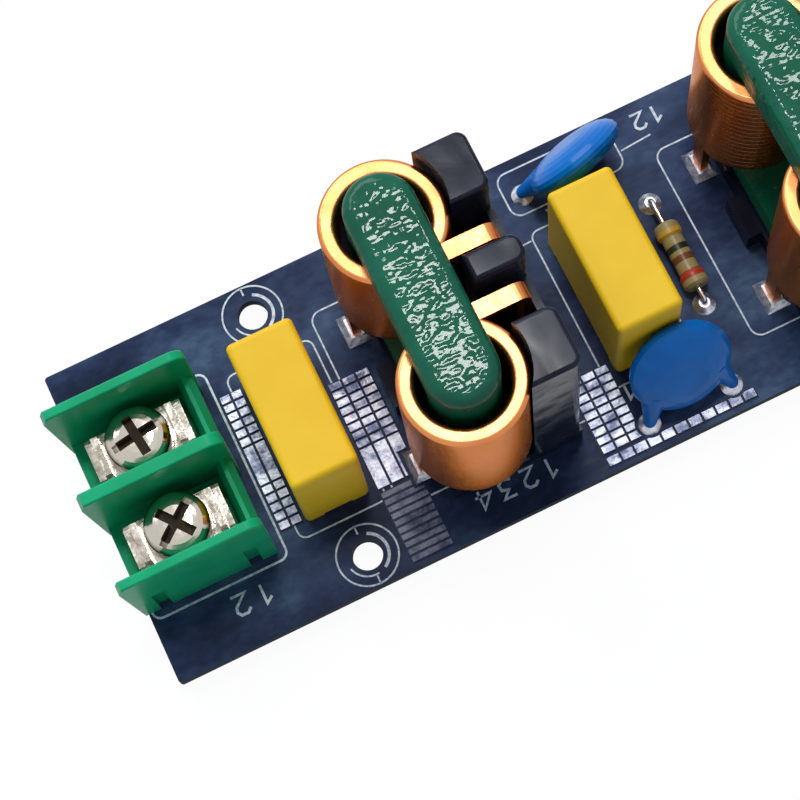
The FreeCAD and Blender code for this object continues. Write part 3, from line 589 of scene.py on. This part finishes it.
def rounded_box(x_low, x_high, y_low, y_high, radius, steps=6):
    """Outline of a box: four quarter circles about its inner corners, joined by straights."""
    angle = np.linspace(0, math.pi / 2, steps)
    quarters = np.arange(4)[:, None] * math.pi / 2 + angle[None, :]
    centre_x = np.array([x_high, x_low, x_low, x_high]) + radius * np.array([-1, 1, 1, -1])
    centre_y = np.array([y_high, y_high, y_low, y_low]) + radius * np.array([-1, -1, 1, 1])
    x = centre_x[:, None] + radius * np.cos(quarters)
    y = centre_y[:, None] + radius * np.sin(quarters)
    return np.stack([x.ravel(), y.ravel()], axis=1)


def circle(x, y, radius, steps=48):
    """Evenly spaced points on a circle, from the X axis towards the Y axis."""
    angle = np.linspace(0, 2 * math.pi, steps, endpoint=False)
    return np.stack([x + radius * np.cos(angle), y + radius * np.sin(angle)], axis=1)


print("a round outline of 2 mm has", len(circle(0, 0, 1.0)), "points")

# %% [markdown]
# Plain numbers mark the terminals and the parts. A font would bring curves and a style
# of its own, and these small marks need neither. Each is one bent line in a box one
# unit high, and the numbers read the right way round from the board's other side.

# %% Points of the numbers
NUMBERS = {
    "1": [(0.2, 0.75), (0.55, 1.0), (0.55, 0.0)],
    "2": [(0.05, 0.8), (0.25, 1.0), (0.6, 1.0), (0.75, 0.8), (0.7, 0.55), (0.05, 0.0),
          (0.8, 0.0)],
    "3": [(0.05, 1.0), (0.75, 1.0), (0.35, 0.6), (0.7, 0.5), (0.75, 0.2), (0.5, 0.0),
          (0.05, 0.1)],
    "4": [(0.6, 0.0), (0.6, 1.0), (0.0, 0.3), (0.85, 0.3)],
}


def number_line(mark, x, y, height):
    """The number's points turned half round, scaled to a height and set at a place."""
    return np.array([x, y]) - np.array(NUMBERS[mark]) * height


print("numbers ready:", ", ".join(NUMBERS))

# %% [markdown]
# The outlines follow the parts that they mark, so their places come from the solids'
# own boxes where that is possible. Every entry of the list is a row of points, the
# line's width, and whether the line closes.

# %% Widths of the lines
# The last width is that of the crescent, a painted highlight on each hole's rim.
FINE, BOLD, PEN, HIGHLIGHT_WIDTH = 0.2, 0.26, 0.32, 0.36
lines = []


def box_mm(name):
    """A solid's lowest and highest corner in millimetres."""
    low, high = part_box(name)
    return np.array(low) / MM, np.array(high) / MM


low, high = box_mm("board")
print("the board is", round(high[0] - low[0], 1), "mm long and", round(high[1] - low[1], 1), "wide")

# %% [markdown]
# Round each mounting hole lies a ring that keeps room for the head of a screw. Inside
# it are a thick crescent, which is a painted highlight on the hole's rim drawn in ink,
# a thin arc on the other side, and two ticks. The crescent and the arc could be drawn
# as arcs of their own, but both lie on one circle of 48 points, so they are cut out of
# it by number: the crescent takes 18 points, from 8 before the X axis on, and the thin
# arc takes those from 26 to 37.

# %% Rings round a mounting hole
HOLE_X, HOLE_Y = 38.5, 15.7
RING_OUTER, RING_INNER, TICK_LOW = 3.55, 2.45, 2.6
HIGHLIGHT_BACK, HIGHLIGHT_POINTS = 8, 18
THIN_FIRST, THIN_END = 26, 38


def ring_hole(x, y):
    """Ring, crescent of painted highlight, thin arc and two ticks about a hole's centre."""
    lines.append((circle(x, y, RING_OUTER), FINE, True))
    ring = circle(x, y, RING_INNER)
    # The crescent is a painted highlight on the rim, drawn in ink.
    painted_highlight = np.roll(ring, HIGHLIGHT_BACK, axis=0)[:HIGHLIGHT_POINTS]
    lines.append((painted_highlight, HIGHLIGHT_WIDTH, False))
    lines.append((ring[THIN_FIRST:THIN_END], FINE, False))
    for side in (-1, 1):
        tick = np.array([(x, y + side * TICK_LOW), (x, y + side * RING_OUTER)])
        lines.append((tick, FINE, False))


print("rings are", 2 * RING_OUTER, "mm across, at", HOLE_X, "and", HOLE_Y, "mm from the middle")

# %% [markdown]
# The two ends of the board are alike, so one loop draws both. The outline of a terminal
# block starts just inside the board's end and passes the housing at a set distance.

# %% Terminal blocks and holes
BLOCK_END = 63.0
BLOCK_INNER_GAP, BLOCK_SIDE_GAP = 0.9, 1.0
BLOCK_CORNER = 1.0

for end, word in ((-1, "output"), (1, "input")):
    low, high = box_mm(word + "_terminal_housing")
    inner = high[0] if end < 0 else low[0]
    block = sorted((end * BLOCK_END, inner - end * BLOCK_INNER_GAP))
    outline = rounded_box(block[0], block[1], low[1] - BLOCK_SIDE_GAP,
                          high[1] + BLOCK_SIDE_GAP, BLOCK_CORNER)
    lines.append((outline, BOLD, True))
    ring_hole(end * HOLE_X, -HOLE_Y)
    ring_hole(end * HOLE_X, HOLE_Y)
print(len(lines), "lines round the terminal blocks and the holes")

# %% [markdown]
# The outline of a film capacitor keeps even gaps to its case. That of a choke is wide
# enough for both coils. It reaches further towards the input end, because the comb
# wall stands there.

# %% Film capacitors and chokes
CASE_SIDE_GAP, CASE_END_GAP = 1.45, 1.55
CASE_CORNER = 1.0
CHOKE_OUTPUT_GAP, CHOKE_INPUT_GAP = 6.3, 10.3
CHOKE_HALF_WIDTH = 12.7
CHOKE_CORNER = 1.3

for word in ("output", "middle", "input"):
    low, high = box_mm(word + "_film_capacitor_case")
    outline = rounded_box(low[0] - CASE_SIDE_GAP, high[0] + CASE_SIDE_GAP,
                          low[1] - CASE_END_GAP, high[1] + CASE_END_GAP, CASE_CORNER)
    lines.append((outline, FINE, True))

for word in ("output", "input"):
    low, high = box_mm(word + "_choke_core")
    outline = rounded_box(low[0] - CHOKE_OUTPUT_GAP, high[0] + CHOKE_INPUT_GAP,
                          -CHOKE_HALF_WIDTH, CHOKE_HALF_WIDTH, CHOKE_CORNER)
    lines.append((outline, FINE, True))
print(len(lines), "lines with those of the film capacitors and the chokes")

# %% [markdown]
# The rest has no box to follow and is placed where the board has room: the
# outline of the upper disc capacitor, two short strokes, three bars side by side, and
# the numbers.

# %% Upper disc capacitor, strokes and bars
DISC_OUTLINE = (-6.1, 8.5, 12.6, 18.2)
DISC_CORNER = 1.3
STROKES = (((8.8, 14.6), (12.8, 14.9)), ((-8.0, 9.2), (-5.6, 9.3)))
BAR_X, BAR_PITCH = 19.6, 0.9
BAR_HIGH, BAR_LOW = 6.4, 2.6

lines.append((rounded_box(*DISC_OUTLINE, DISC_CORNER), FINE, True))
for stroke in STROKES:
    lines.append((np.array(stroke), FINE, False))
for x in (BAR_X - BAR_PITCH, BAR_X, BAR_X + BAR_PITCH):
    lines.append((np.array([(x, BAR_HIGH), (x, BAR_LOW)]), FINE, False))
print(len(lines), "lines with the disc, the strokes and the bars")

# %% Numbers
# Each one with the X and Y of its lower left corner, as one reads it, and its height.
MARKS = (
    ("1", -49.6, -13.4, 2.3), ("2", -52.6, -13.4, 2.3), ("1", -14.6, -14.7, 2.2),
    ("2", -17.4, -14.7, 2.2), ("3", -20.2, -14.7, 2.2), ("4", -23.0, -14.7, 2.2),
    ("2", -1.0, 11.9, 1.8), ("1", -2.9, -10.9, 1.8), ("1", 15.5, 18.0, 2.0),
    ("2", 13.2, 18.0, 2.0), ("3", 51.0, -13.4, 2.3), ("4", 54.0, -13.4, 2.3),
)
for mark, x, y, height in MARKS:
    lines.append((number_line(mark, x, y, height), PEN, False))
print(len(lines), "lines laid out")

# %% [markdown]
# Now each row of points becomes a strip with a top, two edges and closed ends: a small
# rectangle carried along the line. At each point the strip is widened to both sides
# along the corner's bisector, so that its width stays even round a bend. At a sharp
# corner the bisector would reach far out, so its length has a limit.

# %% Edges of a strip
MITRE_LIMIT = 0.5


def edges_of(points, width, closed):
    """Left and right edge of a line: each point moved by half a width along the mitre."""
    line = np.asarray(points, dtype=float)
    before = np.roll(line, 1, axis=0)
    after = np.roll(line, -1, axis=0)
    if not closed:
        before[0] = 2 * line[0] - line[1]
        after[-1] = 2 * line[-1] - line[-2]
    first = line - before
    second = after - line
    first /= np.linalg.norm(first, axis=1, keepdims=True)
    second /= np.linalg.norm(second, axis=1, keepdims=True)
    mitre = np.stack([-(first + second)[:, 1], (first + second)[:, 0]], axis=1)
    mitre /= np.linalg.norm(mitre, axis=1, keepdims=True)
    side = np.stack([-first[:, 1], first[:, 0]], axis=1)
    reach = width / 2 / np.clip((mitre * side).sum(axis=1), MITRE_LIMIT, 1.0)
    return line + mitre * reach[:, None], line - mitre * reach[:, None]


left, right = edges_of([(0, 0), (5, 0)], FINE, False)
print("a fine line is", round(float(left[0, 1] - right[0, 1]), 2), "mm wide")

# %% [markdown]
# Four rails run along each line, one for each corner of the small rectangle. Faces
# join each rail to the next one, step by step, and two more faces close the ends of
# an open line. All corners point the same way round, so every face looks outwards.

# %% Rails and faces of a strip
RAILS = 4


def rails_of(line, width, closed, foot, top):
    """Four rails half a width beside the line: left foot and top, right top and foot."""
    left, right = edges_of(line, width, closed)
    rails = np.empty((len(left), RAILS, 3))
    rails[:, 0, :2], rails[:, 1, :2] = left, left
    rails[:, 2, :2], rails[:, 3, :2] = right, right
    rails[:, (0, 3), 2], rails[:, (1, 2), 2] = foot, top
    return rails.reshape(-1, 3)


def faces_of(first, count, closed):
    """Faces from rail to next rail and from step to next step, and two ends if open."""
    step = np.arange(count if closed else count - 1)[:, None]
    rail = np.arange(RAILS)[None, :]
    here, there = first + RAILS * step, first + RAILS * ((step + 1) % count)
    after = (rail + 1) % RAILS
    quads = np.stack([here + rail, here + after, there + after, there + rail], axis=2)
    faces = quads.reshape(-1, 4)
    if closed:
        return faces
    last = first + RAILS * (count - 1)
    ends = [[first + 3, first + 2, first + 1, first], [last, last + 1, last + 2, last + 3]]
    return np.vstack([faces, ends])


print("an open line of two points has", len(faces_of(0, 2, False)), "faces")

# %% [markdown]
# All strips become one mesh, because they are one print, and it rides on the board.
# Real ink is about 0.02 mm thick. It is drawn three times as thick here, because a
# thinner strip would sink into the board's face when the picture is rendered.

# %% Build the print
INK_FOOT = 0.02
INK_TOP = 0.06
foot, top = BOARD_TOP / MM - INK_FOOT, BOARD_TOP / MM + INK_TOP
points, faces = [], []
first = 0
for line, width, closed in lines:
    points.append(rails_of(line, width, closed, foot, top))
    faces.append(faces_of(first, len(line), closed))
    first += RAILS * len(line)
mesh = bpy.data.meshes.new("board_print")
mesh.from_pydata((np.vstack(points) * MM).tolist(), [], np.vstack(faces).tolist())
mesh.update()
board_print = bpy.data.objects.new("board_print", mesh)
bpy.context.scene.collection.objects.link(board_print)
board_print.data.materials.append(ink_print)
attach(board_print, "root")
print("board_print has", len(board_print.data.polygons), "faces")

# %% [markdown]
# ## Floor
# The part stands on white paper. To render as white, the paper could be lit harder,
# but that would flood the part with light too. Instead it glows, and only for the rays
# that look at it: those from the camera, and those mirrored in metal or seen through
# glass. All other rays meet plain matte paper, which lights the part softly. The matte
# share also shows in the picture, so the paper keeps the part's shadow.

# %% Rays that look at the floor or the sky


def looking_rays(tree):
    """1 for rays from the camera, mirrored rays and rays through glass, and 0 for others."""
    path = add(tree, "ShaderNodeLightPath")
    mirrored = add(tree, "ShaderNodeMath", {"operation": "MAXIMUM"},
                   {0: path.outputs["Is Glossy Ray"], 1: path.outputs["Is Transmission Ray"]})
    return add(tree, "ShaderNodeMath", {"operation": "MAXIMUM"},
               {0: path.outputs["Is Camera Ray"], 1: mirrored})


print("looking_rays() serves the floor and the sky")

# %% Floor of matte paper: nine tenths glow and one tenth matte add up to white
PAPER_HALF = 2.0
PAPER_SHARE = 0.9
PAPER_GLOW = 1.06
corners = np.array([(-1, -1, 0), (1, -1, 0), (1, 1, 0), (-1, 1, 0)]) * PAPER_HALF
floor_mesh = bpy.data.meshes.new("floor")
floor_mesh.from_pydata(corners.tolist(), [], [(0, 1, 2, 3)])
floor = bpy.data.objects.new("floor", floor_mesh)
bpy.context.scene.collection.objects.link(floor)
paper = bpy.data.materials.new("paper_white")
paper.use_nodes = True
tree = paper.node_tree
tree.nodes.clear()
share = add(tree, "ShaderNodeMath", {"operation": "MULTIPLY", 1: PAPER_SHARE},
            {0: looking_rays(tree)})
matte = add(tree, "ShaderNodeBsdfDiffuse", {"Color": linear("#CFCFCF")})
glow = add(tree, "ShaderNodeEmission", {"Color": linear("#FFFFFF"), "Strength": PAPER_GLOW})
mix = add(tree, "ShaderNodeMixShader", None, {0: share, 1: matte, 2: glow})
add(tree, "ShaderNodeOutputMaterial", None, {"Surface": mix})
floor_mesh.materials.append(paper)
floor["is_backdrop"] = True
print("floor is", 2 * PAPER_HALF, "m wide")

# %% [markdown]
# ## Sky
# Behind the part stands a white wall, which is the world itself. It is made as the
# floor is: white for the rays that look at it, and dim for the rest, so that it fills
# the shadows without flattening them. That dim light is a little blue, as daylight
# from a window is. Its tint is written in linear light, the unit that lamps use.

# %% Sky
SKY_TINT = (0.78, 0.92, 1.0, 1.0)
SKY_STRENGTH = 0.34
world = bpy.data.worlds.new("studio")
bpy.context.scene.world = world
world.use_nodes = True
tree = world.node_tree
tree.nodes.clear()
looked_at = looking_rays(tree)
dim = add(tree, "ShaderNodeBackground", {"Color": SKY_TINT, "Strength": SKY_STRENGTH})
white = add(tree, "ShaderNodeBackground", {"Color": linear("#FFFFFF"), "Strength": 1.0})
mix = add(tree, "ShaderNodeMixShader", None, {0: looked_at, 1: dim, 2: white})
add(tree, "ShaderNodeOutputWorld", None, {"Surface": mix})
print("sky", world.name, "is white where it is looked at and dim elsewhere")

# %% [markdown]
# ## Lamps
# Three soft boxes. Two small ones hang high over the board, one for each choke, where
# the camera sees them mirrored in the chokes' level faces. They give the sparkle on
# the cores and the lands, and a larger lamp would smear it. The large one stands
# beyond the board's far side, so that the faces towards the camera lie in shade and
# the shadows fall forwards. Places and sizes are metres, and powers are watts.

# %% Soft boxes
OUTPUT_CORE = (-0.0224, 0.0, 0.03)
INPUT_CORE = (0.0224, 0.0, 0.03)
BOARD_MIDDLE = (0.0, 0.0, 0.0)


def soft_box(name, place, aim, size_x, size_y, power):
    """A rectangular lamp whose axis points from its place to a target."""
    light = bpy.data.lights.new(name, "AREA")
    light.shape = "RECTANGLE"
    light.size = size_x
    light.size_y = size_y
    light.energy = power
    lamp = bpy.data.objects.new(name, light)
    bpy.context.scene.collection.objects.link(lamp)
    way = np.array(aim) - np.array(place)
    flat = math.hypot(way[0], way[1])
    lamp.location = place
    lamp.rotation_euler = (math.atan2(flat, -way[2]), 0.0, math.atan2(-way[0], way[1]))
    print(name, "is", round(float(np.linalg.norm(way)), 2), "m from its target")


soft_box("output_key_light", place=(0.036, 0.152, 0.656), aim=OUTPUT_CORE,
         size_x=0.085, size_y=0.07, power=0.9)
soft_box("input_key_light", place=(0.22, 0.25, 0.656), aim=INPUT_CORE,
         size_x=0.075, size_y=0.06, power=0.55)
soft_box("broad_light", place=(-0.15, 0.85, 0.85), aim=BOARD_MIDDLE,
         size_x=0.8, size_y=0.6, power=8.3)

# %% [markdown]
# ## Camera
# The picture is a part of a larger one, cut off to one side of its middle. A lens
# shift gives that framing without turning the camera, so upright edges keep their
# directions. The place and the turn, a quaternion, come from matching corners of the
# parts with the photograph. The focal length and the film's width are millimetres. The
# Standard view shows each colour about as it is written.

# %% Camera
FILM_WIDTH = 36.0
FOCAL_LENGTH = 110.88
SHIFT_X, SHIFT_Y = -0.03, -0.175
NEAREST, FARTHEST = 0.01, 10.0
CAMERA_PLACE = (-0.042675, -0.073499, 0.276349)
CAMERA_TURN = (0.961848, 0.158344, -0.008391, -0.222946)
camera_data = bpy.data.cameras.new("camera")
camera_data.sensor_width = FILM_WIDTH
camera_data.lens = FOCAL_LENGTH
camera_data.shift_x = SHIFT_X
camera_data.shift_y = SHIFT_Y
camera_data.clip_start = NEAREST
camera_data.clip_end = FARTHEST
camera = bpy.data.objects.new("camera", camera_data)
camera.location = CAMERA_PLACE
camera.rotation_mode = "QUATERNION"
camera.rotation_quaternion = CAMERA_TURN
bpy.context.scene.collection.objects.link(camera)
bpy.context.scene.camera = camera
bpy.context.scene.view_settings.view_transform = "Standard"
print("camera", round(camera.location.z / MM), "mm above the floor")

# %% [markdown]
# ## Finish
# The box of the dressed part, print included, is written out in millimetres.

# %% Write the sizes and finish
low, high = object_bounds()
print("size in mm:", [round((b - a) / MM, 2) for a, b in zip(low, high)])
